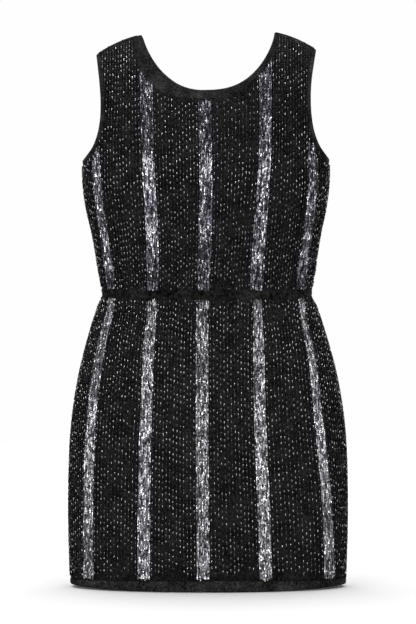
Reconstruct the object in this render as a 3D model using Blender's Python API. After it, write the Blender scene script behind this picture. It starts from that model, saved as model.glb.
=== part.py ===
"""Sleeveless sheath dress: beaded bodice and skirt, gathered waist, plain edges.

The dress stands filled out, as when it is worn, and it is hollow: the neck,
both armholes and the hem are open. The front faces -Y, +X is to the right as
seen from the front, and +Z is up. The origin is midway between the shoulder
seams, level with the mean of their high points: the dress hangs with its +X
shoulder a little higher. Tables and constants are in millimetres.

Each beaded panel is a wall whose outer face is the crest of the beading. The
plain bindings are thinner walls that lie a little below those crests.
"""
import math

import bmesh
import bpy
from mathutils import Vector

MM = 0.001

# ---- driving dimensions (mm) --------------------------------------------
LENGTH = 814.5            # high shoulder point to hem
PANEL_WALL = 2.5          # beaded cloth, crest of the beads to the inside
TRIM_STEP = 0.8           # plain bindings lie this far below the crests
SEAM_GAP = 0.3            # between pieces at a seam

SHOULDER_IN = 98.0        # high shoulder point, from the middle
SHOULDER_TIP = 161.5      # outer end of the shoulder seam, from the middle
SHOULDER_SLOPE = 0.20     # fall for each mm outwards
SHOULDER_BOW = 0.0036     # extra fall, so the seam is convex
SHOULDER_ROLL = 90.0      # height over which the cloth turns over the shoulder

SHOULDER_LEAN = 0.023     # rise of the top of the dress for each mm towards +X
LEAN_FROM, LEAN_TO = -260.0, -40.0   # heights between which that rise sets in

ARMHOLE_BAND = 5.5        # width of the armhole binding
ARMHOLE_STEPS = 12        # points along half of an armhole

WAIST_TOP = -375.2        # where the bodice meets the casing
WAIST_BOTTOM = -387.8     # where the casing meets the skirt
CASING_BULGE = 0.9        # the gathered casing swells by this much
CASING_WALL = 3.0

HEM_SIDE = 12.0           # height of the plain hem band at the side seams
HEM_FRONT = 16.2          # ... in the middle of the front
HEM_BACK = 12.0           # ... in the middle of the back
HEM_LIFT = 4.4            # the hem rises by this much at the side seams
HEM_LIFT_POWER = 3.6      # ... and how closely that rise keeps to them

BODICE_ROWS = 6           # rows of facets below the armholes
SKIRT_ROWS = 12
STRAP_COLS = 4            # columns of facets across each shoulder
NECK_COLS = 18            # columns of facets along half of the neck
RING_COLS = 24            # columns of facets round half of the skirt

# Horizontal sections. Above the armholes half_width is that of the oval on
# which the chest lies, wider than the panel itself.
#        height  half_width  front_depth  back_depth
SECTIONS = [
    (    0.0,    195.0,       70.0,        74.0),
    (  -60.0,    190.0,       77.0,        83.0),
    ( -110.0,    186.0,       87.0,        90.0),
    ( -150.0,    183.0,       97.5,        93.0),
    ( -186.5,    182.0,      105.5,        94.0),
    ( -221.5,    181.1,      109.0,        92.5),
    ( -257.0,    176.6,      105.5,        90.0),
    ( -292.0,    168.9,       99.0,        87.5),
    ( -327.5,    162.7,       93.0,        86.0),
    ( -355.0,    158.9,       89.0,        86.0),
    ( -372.0,    155.4,       87.0,        86.0),
    ( -389.0,    155.6,       87.0,        87.5),
    ( -400.0,    160.3,       90.0,        91.5),
    ( -425.0,    169.0,       93.5,        97.0),
    ( -460.0,    179.4,       97.0,       104.0),
    ( -495.0,    188.4,      100.0,       110.5),
    ( -530.0,    195.2,      102.0,       114.0),
    ( -566.0,    200.3,      103.0,       115.5),
    ( -601.0,    203.4,      103.5,       114.5),
    ( -654.0,    205.4,      103.5,       111.5),
    ( -725.0,    205.6,      102.5,       107.5),
    ( -778.0,    204.2,      101.0,       105.0),
    ( -815.0,    203.0,      100.0,       104.0),
]

# The armhole's free edge, seen from the front.
#        height  from_middle
ARMHOLE = [
    ( -186.5,    182.0),
    ( -178.0,    175.4),
    ( -168.0,    168.2),
    ( -155.0,    162.0),
    ( -140.0,    157.6),
    ( -122.0,    154.8),
    ( -100.0,    153.8),
    (  -75.0,    155.0),
    (  -50.0,    158.0),
    (  -27.0,    161.5),
]

# Neck curves: |x / half_width| ** m + (drop / depth) ** n = 1. The binding is
# wider on the -X side than on the +X side, as the neck is turned a little.
#              half_left  half_right  depth   m_left  m_right  n_left  n_right
NECK = {
    "front_in":  (95.0,   100.0,      82.5,    2.30,   2.70,    1.40,   1.40),
    "front_out": (104.5,  104.0,      94.0,    2.30,   2.30,    2.50,   1.60),
    "back_in":   (95.0,   100.0,      93.0,    2.50,   2.50,    1.80,   1.80),
    "back_out":  (104.5,  104.0,     103.0,    2.40,   2.40,    1.95,   1.90),
}

# The dress hangs a little out of true: how far each height stands to +X.
#        height  sway
SWAY = [
    (    0.0,   -0.6),
    (  -27.0,   -1.0),
    (  -75.0,   -1.9),
    ( -120.0,   -1.6),
    ( -250.0,   -1.2),
    ( -380.0,    0.1),
    ( -500.0,    1.2),
    ( -815.0,    1.6),
]

FRONT, BACK = -1, 1


def table(rows, column, z):
    """Smooth reading of one column of a table whose first column is height."""
    rows = sorted(rows)
    if z <= rows[0][0]:
        return rows[0][column]
    if z >= rows[-1][0]:
        return rows[-1][column]
    k = max(i for i in range(len(rows) - 1) if rows[i][0] <= z)

    def slope(i):
        if i == 0 or i == len(rows) - 1:
            a, b = (0, 1) if i == 0 else (i - 1, i)
            return (rows[b][column] - rows[a][column]) / (rows[b][0] - rows[a][0])
        h0 = rows[i][0] - rows[i - 1][0]
        h1 = rows[i + 1][0] - rows[i][0]
        d0 = (rows[i][column] - rows[i - 1][column]) / h0
        d1 = (rows[i + 1][column] - rows[i][column]) / h1
        return (d0 * h1 + d1 * h0) / (h0 + h1)

    h = rows[k + 1][0] - rows[k][0]
    s = (z - rows[k][0]) / h
    p0, p1 = rows[k][column], rows[k + 1][column]
    m0, m1 = slope(k) * h, slope(k + 1) * h
    return ((2 * s ** 3 - 3 * s ** 2 + 1) * p0 + (s ** 3 - 2 * s ** 2 + s) * m0
            + (-2 * s ** 3 + 3 * s ** 2) * p1 + (s ** 3 - s ** 2) * m1)


def ridge(x):
    """Height of the shoulder line at x."""
    d = abs(x) - SHOULDER_IN
    return -SHOULDER_SLOPE * d - SHOULDER_BOW * d * abs(d)


def depth_squared(x, z, side):
    """Square of the distance of the cloth from the plane of the side seams."""
    half = table(SECTIONS, 1, z)
    depth = table(SECTIONS, 2 if side == FRONT else 3, z)
    t = (ridge(x) - z) / SHOULDER_ROLL
    roll = 1.0 if t >= 1.0 else 1.0 - (1.0 - t) ** 2
    return depth * depth * (1.0 - (x / half) ** 2) * roll


def point(x, z, side, gap=0.0):
    d = math.sqrt(max(0.0, depth_squared(x, z, side)))
    return Vector((x, side * (d + gap), z))


def normal(x, z, side):
    """Outward normal of the cloth, also on the side and shoulder seams."""
    e = 0.02
    d = math.sqrt(max(0.0, depth_squared(x, z, side)))
    gx = (depth_squared(x + e, z, side) - depth_squared(x - e, z, side)) / (2 * e)
    gz = (depth_squared(x, z + e, side) - depth_squared(x, z - e, side)) / (2 * e)
    return Vector((-gx, 2.0 * side * d, -gz)).normalized()


def settle(p):
    """Where a point of the upright form comes to as the dress hangs."""
    t = min(1.0, max(0.0, (p.z - LEAN_FROM) / (LEAN_TO - LEAN_FROM)))
    rise = SHOULDER_LEAN * p.x * t * t * (3.0 - 2.0 * t)
    return Vector((p.x + table(SWAY, 1, p.z), p.y, p.z + rise))


def x_at(angle, z):
    """x of the oval section at an angle: 0 at the -X side seam, pi at +X."""
    return -table(SECTIONS, 1, z) * math.cos(angle)


def angle_at(x, z):
    return math.acos(max(-1.0, min(1.0, -x / table(SECTIONS, 1, z))))


# ---- boundary curves -----------------------------------------------------
def neck_point(curve, q, extra=0.0):
    """(x, z) on a neck curve: q is 0 at the -X shoulder, pi at +X."""
    hl, hr, depth, ml, mr, nl, nr = NECK[curve]
    half, m, n = (hl, ml, nl) if q < math.pi / 2 else (hr, mr, nr)
    half += extra
    depth += extra
    x = half * abs(math.cos(q)) ** (2.0 / m)
    s = abs(math.sin(q)) ** (2.0 / n)
    z = ridge(half) * (1.0 - s) - depth * s
    return (-x if q < math.pi / 2 else x), z


def armhole_points(side, width):
    """(x, z) along half an armhole on the +X side, from the side seam to the
    shoulder, moved into the cloth by width."""
    bottom, top = ARMHOLE[0][0], ARMHOLE[-1][0]
    edge = []
    for i in range(ARMHOLE_STEPS + 1):
        z = bottom + (top - bottom) * (1.0 - math.cos(math.pi * i / ARMHOLE_STEPS)) / 2.0
        x = table(ARMHOLE, 1, z)
        if i == ARMHOLE_STEPS:
            x, z = SHOULDER_TIP, ridge(SHOULDER_TIP)
        edge.append((x, z))
    if width == 0.0:
        return edge
    moved = []
    for i, (x, z) in enumerate(edge):
        if i == 0:
            z1 = z - width
            moved.append((table(SECTIONS, 1, z1), z1))
            continue
        if i == ARMHOLE_STEPS:
            run = math.hypot(1.0, SHOULDER_SLOPE)
            x1 = x - width / run
            moved.append((x1, ridge(x1)))
            continue
        p = point(x, z, side)
        tangent = (point(*edge[i + 1], side) - point(*edge[i - 1], side)).normalized()
        across = tangent.cross(normal(x, z, side)).normalized()
        if across.z > 0.0 and i < ARMHOLE_STEPS / 2 or across.x > 0.0 and i >= ARMHOLE_STEPS / 2:
            across = -across
        q = p + across * width
        half = table(SECTIONS, 1, q.z)
        if q.z < -130.0:
            depth = table(SECTIONS, 2 if side == FRONT else 3, q.z)
            a = math.atan2(abs(q.y) / depth, q.x / half)
            moved.append((half * math.cos(a), q.z))
        else:
            moved.append((q.x, min(q.z, ridge(q.x) - 0.02)))
    return moved


# ---- solids --------------------------------------------------------------
def new_material(name, colour, roughness, metallic):
    mat = bpy.data.materials.new(name)
    mat.use_nodes = True
    bsdf = mat.node_tree.nodes["Principled BSDF"]
    bsdf.inputs["Base Color"].default_value = (*colour, 1.0)
    bsdf.inputs["Roughness"].default_value = roughness
    bsdf.inputs["Metallic"].default_value = metallic
    mat.diffuse_color = (*colour, 1.0)
    return mat


def add_wall(name, outer, inner, closed, colour, roughness, metallic=0.0):
    """A closed wall between two grids of points; closed joins the last column
    to the first."""
    bm = bmesh.new()
    rows, cols = len(outer), len(outer[0])
    out = [[bm.verts.new(settle(p) * MM) for p in row] for row in outer]
    inn = [[bm.verts.new(settle(p) * MM) for p in row] for row in inner]
    spans = cols if closed else cols - 1
    for i in range(rows - 1):
        for j in range(spans):
            k = (j + 1) % cols
            bm.faces.new((out[i][j], out[i][k], out[i + 1][k], out[i + 1][j]))
            bm.faces.new((inn[i][j], inn[i + 1][j], inn[i + 1][k], inn[i][k]))
    for j in range(spans):
        k = (j + 1) % cols
        bm.faces.new((out[0][j], inn[0][j], inn[0][k], out[0][k]))
        bm.faces.new((out[-1][j], out[-1][k], inn[-1][k], inn[-1][j]))
    if not closed:
        for i in range(rows - 1):
            bm.faces.new((out[i][0], out[i + 1][0], inn[i + 1][0], inn[i][0]))
            bm.faces.new((out[i][-1], inn[i][-1], inn[i + 1][-1], out[i + 1][-1]))
    bmesh.ops.triangulate(bm, faces=bm.faces[:])
    bmesh.ops.recalc_face_normals(bm, faces=bm.faces[:])
    mesh = bpy.data.meshes.new(name)
    bm.to_mesh(mesh)
    bm.free()
    mesh.shade_smooth()
    mesh.set_sharp_from_angle(angle=math.radians(40))
    mesh.materials.append(new_material(name, colour, roughness, metallic))
    obj = bpy.data.objects.new(name, mesh)
    bpy.context.scene.collection.objects.link(obj)
    return obj


def offset_grid(points, distance):
    """Grid of (x, z, side, gap) moved out along the cloth's normals."""
    grid = []
    for row in points:
        grid.append([point(x, z, s, g) + normal(x, z, s) * distance
                     for x, z, s, g in row])
    return grid


BEADED = (0.012, 0.012, 0.014)
PLAIN = (0.018, 0.018, 0.020)


def bodice(name, side):
    """Front or back bodice: columns run from the casing up to the shoulder
    seams and the neck binding, rows from one side to the other."""
    gap = SEAM_GAP / 2.0
    edge = armhole_points(side, ARMHOLE_BAND + SEAM_GAP)
    corner = edge[0][1]
    top = edge[-1][1]
    shares = [(z - corner) / (top - corner) for _, z in edge]
    curve = "front_out" if side == FRONT else "back_out"

    def limit(z):
        """Angle of the panel's edge at height z."""
        if z <= corner:
            return 0.0
        for (x0, z0), (x1, z1) in zip(edge, edge[1:]):
            if z <= z1 or (x1, z1) == edge[-1]:
                s = (z - z0) / (z1 - z0)
                a0, a1 = math.pi - angle_at(x0, z0), math.pi - angle_at(x1, z1)
                return a0 + (a1 - a0) * min(s, 1.0)
        return 0.0

    def column_x(w, z):
        a = limit(z)
        return x_at(a + (math.pi - 2.0 * a) * w, z)

    # the share of the width at which each neck column stands
    neck = []
    for j in range(NECK_COLS + 1):
        x, z = neck_point(curve, math.pi * j / NECK_COLS, SEAM_GAP)
        a = limit(z)
        neck.append(((angle_at(x, z) - a) / (math.pi - 2.0 * a), z))
    columns = []
    for j in range(STRAP_COLS):
        w = neck[0][0] * j / STRAP_COLS
        columns.append((w, None))
    columns += neck
    for j in range(1, STRAP_COLS + 1):
        w = neck[-1][0] + (1.0 - neck[-1][0]) * j / STRAP_COLS
        columns.append((w, None))

    grid = [[] for _ in range(BODICE_ROWS + len(shares))]
    for w, z_top in columns:
        if z_top is None:
            z_top = -10.0
            for _ in range(60):
                z_top = ridge(column_x(w, z_top))
        for i in range(BODICE_ROWS):
            z = WAIST_TOP + (corner - WAIST_TOP) * i / BODICE_ROWS
            grid[i].append((column_x(w, z), z, side, gap))
        for i, share in enumerate(shares):
            z = corner + (z_top - corner) * share
            if w in (0.0, 1.0):
                x = edge[i][0] * (-1.0 if w == 0.0 else 1.0)
                z = edge[i][1]
            else:
                x = column_x(w, z)
            grid[BODICE_ROWS + i].append((x, z, side, gap))
    add_wall(name, offset_grid(grid, 0.0), offset_grid(grid, -PANEL_WALL), False,
             BEADED, 0.35)


def hem_height(angle, side):
    """Height of the top of the plain hem band."""
    middle = HEM_FRONT if side == FRONT else HEM_BACK
    return -LENGTH + HEM_SIDE + (middle - HEM_SIDE) * math.sin(angle) ** 2


def skirt(name, side):
    """Front or back skirt, from the casing down to the hem band."""
    gap = SEAM_GAP / 2.0
    grid = []
    for i in range(SKIRT_ROWS + 1):
        share = (i / SKIRT_ROWS) ** 1.2
        row = []
        for j in range(RING_COLS + 1):
            a = math.pi * j / RING_COLS
            low = hem_height(a, side) + SEAM_GAP
            z = WAIST_BOTTOM + (low - WAIST_BOTTOM) * share
            row.append((x_at(a, z), z, side, gap))
        grid.append(row)
    add_wall(name, offset_grid(grid, 0.0), offset_grid(grid, -PANEL_WALL), False,
             BEADED, 0.35)


def ring_angles():
    """(angle, side) once round the body, from the -X side seam by the front."""
    steps = [(math.pi * j / RING_COLS, FRONT) for j in range(RING_COLS)]
    return steps + [(math.pi * (1.0 - j / RING_COLS), BACK) for j in range(RING_COLS)]


def waist_casing():
    """A gathered ring, swollen in the middle of its height."""
    top, bottom = WAIST_TOP - SEAM_GAP, WAIST_BOTTOM + SEAM_GAP
    heights = [top, (top + bottom) / 2.0, bottom]
    swell = [0.0, CASING_BULGE, 0.0]
    outer, inner = [], []
    for z, s in zip(heights, swell):
        ring = [(x_at(a, z), z, side, 0.0) for a, side in ring_angles()]
        outer += offset_grid([ring], s)
        inner += offset_grid([ring], s - CASING_WALL)
    add_wall("waist_casing", outer, inner, True, PLAIN, 0.6)


def hem_band():
    """The plain band below the beading."""
    top, bottom = [], []
    for a, side in ring_angles():
        z0 = hem_height(a, side)
        z1 = -LENGTH + HEM_LIFT * abs(math.cos(a)) ** HEM_LIFT_POWER
        top.append((x_at(a, z0), z0, side, 0.0))
        bottom.append((x_at(a, z1), z1, side, 0.0))
    grid = [top, bottom]
    add_wall("hem_band", offset_grid(grid, -TRIM_STEP), offset_grid(grid, -PANEL_WALL),
             True, PLAIN, 0.6)


def neck_binding():
    """The plain strip all round the neck, over both shoulder seams."""
    free, sewn = [], []
    for side, inner_curve, outer_curve in ((FRONT, "front_in", "front_out"),
                                           (BACK, "back_in", "back_out")):
        for j in range(NECK_COLS):
            q = math.pi * j / NECK_COLS
            if side == BACK:
                q = math.pi - q
            free.append((*neck_point(inner_curve, q), side, 0.0))
            sewn.append((*neck_point(outer_curve, q), side, 0.0))
    grid = [free, sewn]
    add_wall("neck_binding", offset_grid(grid, -TRIM_STEP), offset_grid(grid, -PANEL_WALL),
             True, PLAIN, 0.55)


def armhole_binding(name, sign):
    """The plain strip round one armhole: sign is 1 on the +X side."""
    free, sewn = [], []
    for side in (FRONT, BACK):
        a = armhole_points(side, 0.0)
        b = armhole_points(side, ARMHOLE_BAND)
        steps = range(ARMHOLE_STEPS) if side == FRONT else range(ARMHOLE_STEPS, 0, -1)
        for i in steps:
            free.append((sign * a[i][0], a[i][1], side, 0.0))
            sewn.append((sign * b[i][0], b[i][1], side, 0.0))
    grid = [free, sewn]
    add_wall(name, offset_grid(grid, -TRIM_STEP), offset_grid(grid, -PANEL_WALL),
             True, PLAIN, 0.55)


def main():
    for obj in list(bpy.data.objects):
        bpy.data.objects.remove(obj, do_unlink=True)
    bodice("bodice_front", FRONT)
    bodice("bodice_back", BACK)
    skirt("skirt_front", FRONT)
    skirt("skirt_back", BACK)
    waist_casing()
    hem_band()
    neck_binding()
    armhole_binding("armhole_binding_l", -1)
    armhole_binding("armhole_binding_r", 1)


main()
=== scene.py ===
"""Looks of a sleeveless sheath dress, beaded in black with silver upright
stripes: thin cloth shells, strings of real beads, plain bindings, a gathered
waist, a pale studio, and the camera in front."""
import math

import bpy
import numpy as np
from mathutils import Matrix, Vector


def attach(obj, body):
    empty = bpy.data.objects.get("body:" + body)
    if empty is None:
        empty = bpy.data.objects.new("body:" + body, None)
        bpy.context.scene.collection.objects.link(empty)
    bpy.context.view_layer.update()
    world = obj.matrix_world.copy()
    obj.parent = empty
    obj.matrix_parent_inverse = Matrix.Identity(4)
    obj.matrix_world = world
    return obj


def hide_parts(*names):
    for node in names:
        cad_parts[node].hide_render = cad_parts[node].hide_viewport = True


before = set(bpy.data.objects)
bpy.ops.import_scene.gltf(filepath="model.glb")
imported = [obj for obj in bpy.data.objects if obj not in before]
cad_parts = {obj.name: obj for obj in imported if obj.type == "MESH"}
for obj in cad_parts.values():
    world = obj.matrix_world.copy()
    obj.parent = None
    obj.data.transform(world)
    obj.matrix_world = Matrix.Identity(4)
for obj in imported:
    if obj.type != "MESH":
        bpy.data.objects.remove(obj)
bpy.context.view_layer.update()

MM = 0.001
FRONT, BACK = -1, 1

# ---- the dress's own sizes (mm), the same as its construction -------------
LENGTH = 814.5
PANEL_WALL = 2.5
SHOULDER_IN = 98.0
SHOULDER_TIP = 161.5
SHOULDER_SLOPE = 0.20
SHOULDER_BOW = 0.0036
SHOULDER_ROLL = 90.0
SHOULDER_LEAN = 0.023
LEAN_FROM, LEAN_TO = -260.0, -40.0
ARMHOLE_BAND = 5.5
WAIST_TOP = -375.2
WAIST_BOTTOM = -387.8
HEM_SIDE = 12.0
HEM_FRONT = 16.2
HEM_BACK = 12.0
HEM_LIFT = 4.4
HEM_LIFT_POWER = 3.6

#        height  half_width  front_depth  back_depth
SECTIONS = [
    (    0.0,    195.0,       70.0,        74.0),
    (  -60.0,    190.0,       77.0,        83.0),
    ( -110.0,    186.0,       87.0,        90.0),
    ( -150.0,    183.0,       97.5,        93.0),
    ( -186.5,    182.0,      105.5,        94.0),
    ( -221.5,    181.1,      109.0,        92.5),
    ( -257.0,    176.6,      105.5,        90.0),
    ( -292.0,    168.9,       99.0,        87.5),
    ( -327.5,    162.7,       93.0,        86.0),
    ( -355.0,    158.9,       89.0,        86.0),
    ( -372.0,    155.4,       87.0,        86.0),
    ( -389.0,    155.6,       87.0,        87.5),
    ( -400.0,    160.3,       90.0,        91.5),
    ( -425.0,    169.0,       93.5,        97.0),
    ( -460.0,    179.4,       97.0,       104.0),
    ( -495.0,    188.4,      100.0,       110.5),
    ( -530.0,    195.2,      102.0,       114.0),
    ( -566.0,    200.3,      103.0,       115.5),
    ( -601.0,    203.4,      103.5,       114.5),
    ( -654.0,    205.4,      103.5,       111.5),
    ( -725.0,    205.6,      102.5,       107.5),
    ( -778.0,    204.2,      101.0,       105.0),
    ( -815.0,    203.0,      100.0,       104.0),
]

#        height  from_middle
ARMHOLE = [
    ( -186.5,    182.0),
    ( -178.0,    175.4),
    ( -168.0,    168.2),
    ( -155.0,    162.0),
    ( -140.0,    157.6),
    ( -122.0,    154.8),
    ( -100.0,    153.8),
    (  -75.0,    155.0),
    (  -50.0,    158.0),
    (  -27.0,    161.5),
]

#              half_left  half_right  depth   m_left  m_right  n_left  n_right
NECK = {
    "front_in":  (95.0,   100.0,      82.5,    2.30,   2.70,    1.40,   1.40),
    "front_out": (104.5,  104.0,      94.0,    2.30,   2.30,    2.50,   1.60),
    "back_in":   (95.0,   100.0,      93.0,    2.50,   2.50,    1.80,   1.80),
    "back_out":  (104.5,  104.0,     103.0,    2.40,   2.40,    1.95,   1.90),
}

#        height  sway
SWAY = [
    (    0.0,   -0.6),
    (  -27.0,   -1.0),
    (  -75.0,   -1.9),
    ( -120.0,   -1.6),
    ( -250.0,   -1.2),
    ( -380.0,    0.1),
    ( -500.0,    1.2),
    ( -815.0,    1.6),
]

# ---- beadwork (mm) ---------------------------------------------------------
# Where the middle of each front stripe stands, seen from the front.
#        height  outer_l  inner_l  middle  inner_r  outer_r
STRIPES_FRONT = [
    (    0.0,    -159.0,   -89.5,   -4.2,    87.0,   157.0),
    (  -68.0,    -159.0,   -88.9,   -4.0,    85.6,   156.5),
    ( -171.5,    -161.8,   -86.0,   -1.8,    85.2,   155.6),
    ( -224.5,    -160.4,   -83.8,   -1.5,    82.2,   155.4),
    ( -295.0,    -151.5,   -79.8,   -2.6,    77.2,   148.1),
    ( -366.0,    -141.9,   -79.3,   -5.3,    73.0,   139.2),
    ( -401.0,    -141.9,   -80.1,   -6.8,    74.1,   140.0),
    ( -454.0,    -154.4,   -84.8,   -7.0,    75.7,   150.3),
    ( -525.0,    -165.5,   -87.4,   -7.0,    76.6,   159.9),
    ( -595.0,    -171.6,   -90.2,   -6.9,    78.8,   167.2),
    ( -684.0,    -174.3,   -91.8,   -6.2,    83.0,   176.0),
    ( -815.0,    -174.3,   -92.8,   -4.8,    87.0,   181.0),
]
STRIPES_BACK = [
    (    0.0,    -158.0,   -88.0,    0.0,    88.0,   158.0),
    ( -171.5,    -157.0,   -86.0,    0.0,    86.0,   157.0),
    ( -224.5,    -157.0,   -83.5,    0.0,    83.5,   157.0),
    ( -295.0,    -149.5,   -79.0,    0.0,    79.0,   149.5),
    ( -366.0,    -140.5,   -76.5,    0.0,    76.5,   140.5),
    ( -401.0,    -141.0,   -77.5,    0.0,    77.5,   141.0),
    ( -454.0,    -152.5,   -81.0,    0.0,    81.0,   152.5),
    ( -525.0,    -163.0,   -83.0,    0.0,    83.0,   163.0),
    ( -595.0,    -170.0,   -85.0,    0.0,    85.0,   170.0),
    ( -815.0,    -177.0,   -90.0,    0.0,    90.0,   177.0),
]
# Width of each stripe along the cloth: they are drawn in at the waist.
#        height  outer_l  inner_l  middle  inner_r  outer_r
STRIPE_WIDTH = [
    (    0.0,    17.4,    19.4,    19.4,   19.4,    19.4),
    ( -225.0,    17.8,    19.4,    19.4,   19.4,    19.4),
    ( -330.0,    18.6,    19.2,    19.6,   20.6,    19.4),
    ( -372.0,    17.2,    17.8,    18.6,   19.2,    18.2),
    ( -389.0,    14.2,    14.8,    17.6,   13.6,    11.0),
    ( -440.0,    16.4,    16.6,    18.4,   16.4,    12.0),
    ( -560.0,    18.0,    18.4,    19.0,   18.2,    15.8),
    ( -700.0,    19.2,    19.2,    19.4,   19.2,    18.8),
    ( -815.0,    19.4,    19.4,    19.4,   19.4,    19.4),
]
# How the silver beads lie, in degrees from upright: the cloth's soft ripples
# turn them up and down, a little differently in each stripe. Plus is tipped up
# towards the sky.
#        height  outer_l  inner_l  middle  inner_r  outer_r
LIE = [
    (    0.0,     -6.0,    -6.0,    -6.0,   -7.5,    -6.0),
    (  -58.0,     -6.0,    -6.0,    -6.0,   -8.0,    -6.0),
    (  -70.0,     -6.0,     0.5,    -7.0,   -7.5,    -6.0),
    (  -86.0,     -6.0,    -6.5,    -7.0,   -7.0,    -6.0),
    ( -112.0,     -6.0,    -7.0,    -7.0,   -8.0,    -6.0),
    ( -140.0,     -6.0,    -5.5,    -6.0,   -2.0,    -6.0),
    ( -160.0,     -3.5,    -7.0,    -7.0,   -7.0,    -4.5),
    ( -196.0,     -7.0,     2.5,     9.0,    3.0,    -7.5),
    ( -226.0,     -4.0,     2.5,    -4.0,   -1.5,    -5.0),
    ( -250.0,     -3.0,    -2.5,    -4.5,   -3.5,    -3.0),
    ( -292.0,     -3.5,     5.5,    -1.0,   -1.0,    -6.0),
    ( -320.0,     -3.5,    -3.5,    -5.5,   -2.0,    -6.5),
    ( -350.0,     -5.0,    -4.5,    -6.5,   -4.5,    -6.0),
    ( -380.0,     -6.0,    -6.0,    -7.0,   -6.5,    -6.5),
    ( -405.0,     -3.0,    -5.0,    -6.0,   -5.5,    -3.5),
    ( -440.0,      0.5,    -3.0,    -1.0,   -3.0,    -2.0),
    ( -482.0,     -2.0,     0.0,    -5.0,   -3.5,     0.5),
    ( -520.0,      0.0,     1.0,    -1.0,   -1.0,    -1.0),
    ( -580.0,      2.0,     1.5,     0.0,    2.0,     2.5),
    ( -700.0,      0.5,     2.0,     0.0,    2.0,     2.5),
    ( -815.0,      1.0,     3.0,     1.5,    2.0,     2.0),
]
STRIPE_COLS = 9           # strings of silver beads in a stripe
BLACK_COLS = 13           # strings of black beads between two stripes
SIDE_PITCH = 4.7          # between strings outside the outer stripes
OUTER_TOP = -161.0        # the outer stripes start below the armholes
PITCH = 8.8               # one long bead and one short bead on a string
BUGLE_LONG, BUGLE_R = 4.7, 1.05
SEED_LONG, SEED_R = 3.9, 0.64
SPARK_LONG, SPARK_R, SPARK_PITCH = 2.25, 1.02, 2.42

rng = np.random.default_rng(7)


# ---- the form --------------------------------------------------------------
def table(rows, column, z):
    """Smooth reading of a table whose first column is height; z is an array."""
    rows = sorted(rows)
    zs = np.array([r[0] for r in rows])
    vs = np.array([r[column] for r in rows], float)
    h = np.diff(zs)
    d = np.diff(vs) / h
    m = np.empty_like(vs)
    m[0], m[-1] = d[0], d[-1]
    m[1:-1] = (d[:-1] * h[1:] + d[1:] * h[:-1]) / (h[1:] + h[:-1])
    z = np.clip(np.asarray(z, float), zs[0], zs[-1])
    k = np.clip(np.searchsorted(zs, z, side="right") - 1, 0, len(h) - 1)
    s = (z - zs[k]) / h[k]
    return ((2 * s ** 3 - 3 * s ** 2 + 1) * vs[k] + (s ** 3 - 2 * s ** 2 + s) * m[k] * h[k]
            + (-2 * s ** 3 + 3 * s ** 2) * vs[k + 1] + (s ** 3 - s ** 2) * m[k + 1] * h[k])


def half_width(z):
    return table(SECTIONS, 1, z)


def depth(z, side):
    return np.where(np.asarray(side) == FRONT, table(SECTIONS, 2, z), table(SECTIONS, 3, z))


def ridge(x):
    d = np.abs(x) - SHOULDER_IN
    return -SHOULDER_SLOPE * d - SHOULDER_BOW * d * np.abs(d)


def depth_squared(x, z, side):
    t = (ridge(x) - z) / SHOULDER_ROLL
    roll = np.where(t >= 1.0, 1.0, 1.0 - (1.0 - t) ** 2)
    return depth(z, side) ** 2 * (1.0 - (x / half_width(z)) ** 2) * roll


def unit(v):
    return v / np.maximum(np.linalg.norm(v, axis=-1, keepdims=True), 1e-12)


def base_point(x, z, side):
    d = np.sqrt(np.maximum(0.0, depth_squared(x, z, side)))
    return np.stack([x + 0.0 * d, side * d, z + 0.0 * d], axis=-1)


def base_normal(x, z, side):
    e = 0.05
    d = np.sqrt(np.maximum(0.0, depth_squared(x, z, side)))
    gx = (depth_squared(x + e, z, side) - depth_squared(x - e, z, side)) / (2 * e)
    gz = (depth_squared(x, z + e, side) - depth_squared(x, z - e, side)) / (2 * e)
    return unit(np.stack([-gx, 2.0 * side * d, -gz], axis=-1))


def settle(p):
    """Where points of the upright form come to as the dress hangs: a little
    to one side, one shoulder higher, the corners of the shoulders rounded."""
    x, y, z = p[..., 0], p[..., 1], p[..., 2]
    near = np.clip(1.0 - (ridge(x) - z) / 10.0, 0.0, 1.0) ** 2
    near = np.where(z > -60.0, near, 0.0)
    outer = np.clip((np.abs(x) - 158.5) / 3.0, 0.0, 1.0) ** 2
    inner = np.clip((np.where(x < 0, 97.5, 101.5) - np.abs(x)) / 2.5, 0.0, 1.0) ** 2
    z1 = z - 1.1 * near * (outer + inner)
    t = np.clip((z - LEAN_FROM) / (LEAN_TO - LEAN_FROM), 0.0, 1.0)
    z1 = z1 + SHOULDER_LEAN * x * t * t * (3.0 - 2.0 * t)
    return np.stack([x + table(SWAY, 1, z), y, z1], axis=-1)


# arc length along each horizontal section, from the middle of a panel
ARC_Z = np.linspace(-820.0, 0.0, 165)
ARC_A = np.linspace(0.0, math.pi, 361)
ARCS = {}
for s_ in (FRONT, BACK):
    a_, b_ = half_width(ARC_Z)[:, None], depth(ARC_Z, s_)[:, None]
    speed = np.hypot(a_ * np.sin(ARC_A), b_ * np.cos(ARC_A))
    run = np.concatenate([np.zeros((len(ARC_Z), 1)),
                          np.cumsum((speed[:, 1:] + speed[:, :-1]) / 2, axis=1)
                          * (ARC_A[1] - ARC_A[0])], axis=1)
    ARCS[s_] = run - run[:, 180:181]


def angle_of_x(x, z):
    return np.arccos(np.clip(-x / half_width(z), -1.0, 1.0))


def arc_of_angle(a, z, side):
    """Arc length from the middle of the panel; a and z are arrays."""
    fz = np.clip((z - ARC_Z[0]) / (ARC_Z[1] - ARC_Z[0]), 0, len(ARC_Z) - 1.001)
    fa = np.clip(a / (ARC_A[1] - ARC_A[0]), 0, len(ARC_A) - 1.001)
    i, j = fz.astype(int), fa.astype(int)
    u, v = fz - i, fa - j
    t = ARCS[side]
    return ((t[i, j] * (1 - u) + t[i + 1, j] * u) * (1 - v)
            + (t[i, j + 1] * (1 - u) + t[i + 1, j + 1] * u) * v)


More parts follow.
